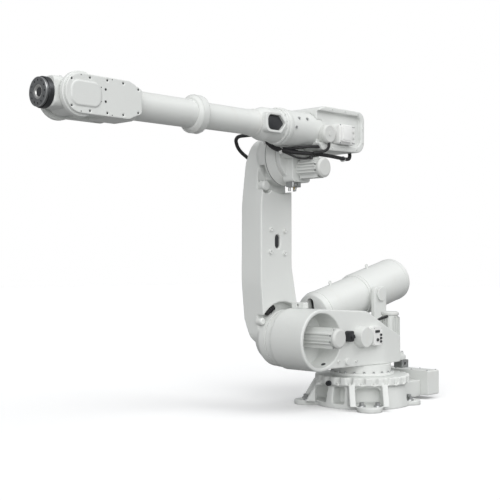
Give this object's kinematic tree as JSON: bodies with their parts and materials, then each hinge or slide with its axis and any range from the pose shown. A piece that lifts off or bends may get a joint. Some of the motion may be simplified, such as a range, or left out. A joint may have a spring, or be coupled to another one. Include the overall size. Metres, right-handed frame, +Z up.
{
  "type": "six-axis industrial robot arm",
  "caption": "Long-reach industrial robot arm on a bolted base, with a turning frame, a lower arm, a slender tube with a bent wrist, a balancing cylinder and servo motors",
  "frame": {"origin": "on the floor under the base, on axis 1, at the middle of the base's flat face", "axes": "+X points forward along the arm, +Y to the robot's left, +Z up"},
  "size_m": [3.9176, 1.1118, 2.108],
  "materials": {
    "light_grey_paint": "satin",
    "white_plastic": "matte",
    "black_plastic": "matte",
    "black_rubber": "matte",
    "dark_steel": "satin",
    "bright_steel": "satin"
  },
  "bodies": {
    "base": {"base_casting": "light_grey_paint", "connection_box": "light_grey_paint", "connection_sockets": "black_plastic", "base_plug": "black_plastic"},
    "frame": {"turntable": "light_grey_paint", "frame_casting": "light_grey_paint", "axis_2_gear": "light_grey_paint", "axis_2_motor": "light_grey_paint", "axis_1_motor": "light_grey_paint", "frame_motor_caps": "light_grey_paint", "side_boss": "light_grey_paint", "brake_release_box": "white_plastic", "side_connector": "black_plastic", "stop_block": "light_grey_paint", "top_stop": "light_grey_paint", "cylinder_bracket": "light_grey_paint"},
    "cylinder": {"balance_cylinder": "light_grey_paint", "trunnion_pins": "light_grey_paint", "lifting_eyes": "light_grey_paint"},
    "rod": {"piston_rod": "bright_steel"},
    "arm": {"lower_arm": "light_grey_paint", "rod_pin": "bright_steel", "arm_fasteners": "light_grey_paint", "stop_buffer": "black_rubber", "axis_3_gland": "black_plastic"},
    "elbow": {"elbow_gear": "light_grey_paint", "elbow_housing": "light_grey_paint", "rear_housing": "light_grey_paint", "axis_3_motor": "light_grey_paint", "axis_3_motor_cap": "white_plastic", "axis_4_motor": "white_plastic", "wrist_motors": "white_plastic", "junction_cover": "white_plastic", "elbow_fittings": "bright_steel", "elbow_hose": "black_rubber", "hose_clamps": "white_plastic"},
    "forearm": {"tube_neck": "light_grey_paint", "rear_tube": "light_grey_paint", "tube_collar": "light_grey_paint", "front_tube": "light_grey_paint", "wrist_housing": "light_grey_paint", "wrist_covers": "light_grey_paint"},
    "wrist": {"tilt_housing": "light_grey_paint", "flange_ring": "dark_steel"},
    "flange": {"tool_flange": "dark_steel"}
  },
  "joints": [
    {"name": "axis_1", "type": "hinge", "parent": "base", "child": "frame", "pos_m": [0, 0, 0.26], "axis": [0, 0, 1], "range_deg": [-180, 180]},
    {"name": "axis_2", "type": "hinge", "parent": "frame", "child": "arm", "pos_m": [0.59, -0.25, 0.5], "axis": [0, 1, 0], "range_deg": [-40, 160]},
    {"name": "axis_3", "type": "hinge", "parent": "arm", "child": "elbow", "pos_m": [0.59, -0.25, 1.78], "axis": [0, -1, 0], "range_deg": [-70, 180]},
    {"name": "axis_4", "type": "hinge", "parent": "elbow", "child": "forearm", "pos_m": [0.925, 0, 1.948], "axis": [1, 0, 0], "range_deg": [-300, 300]},
    {"name": "axis_5", "type": "hinge", "parent": "forearm", "child": "wrist", "pos_m": [2.615, 0, 1.948], "axis": [0, 1, 0], "range_deg": [-120, 120]},
    {"name": "axis_6", "type": "hinge", "parent": "wrist", "child": "flange", "pos_m": [2.797, 0, 1.948], "axis": [1, 0, 0], "range_deg": [-360, 360]},
    {"name": "cylinder_swing", "type": "hinge", "parent": "frame", "child": "cylinder", "pos_m": [-0.582, -0.48, 0.78404], "axis": [0, -1, 0], "range_deg": [-2, 7]},
    {"name": "rod_swing", "type": "hinge", "parent": "arm", "child": "rod", "pos_m": [0.4541, -0.48, 0.52763], "axis": [0, -1, 0], "range_deg": [-45, 170]}
  ],
  "couplings": [
    {"joint": "cylinder_swing", "follows": "axis_2", "ratio": 0.038},
    {"joint": "rod_swing", "follows": "axis_2", "ratio": 1.038}
  ]
}
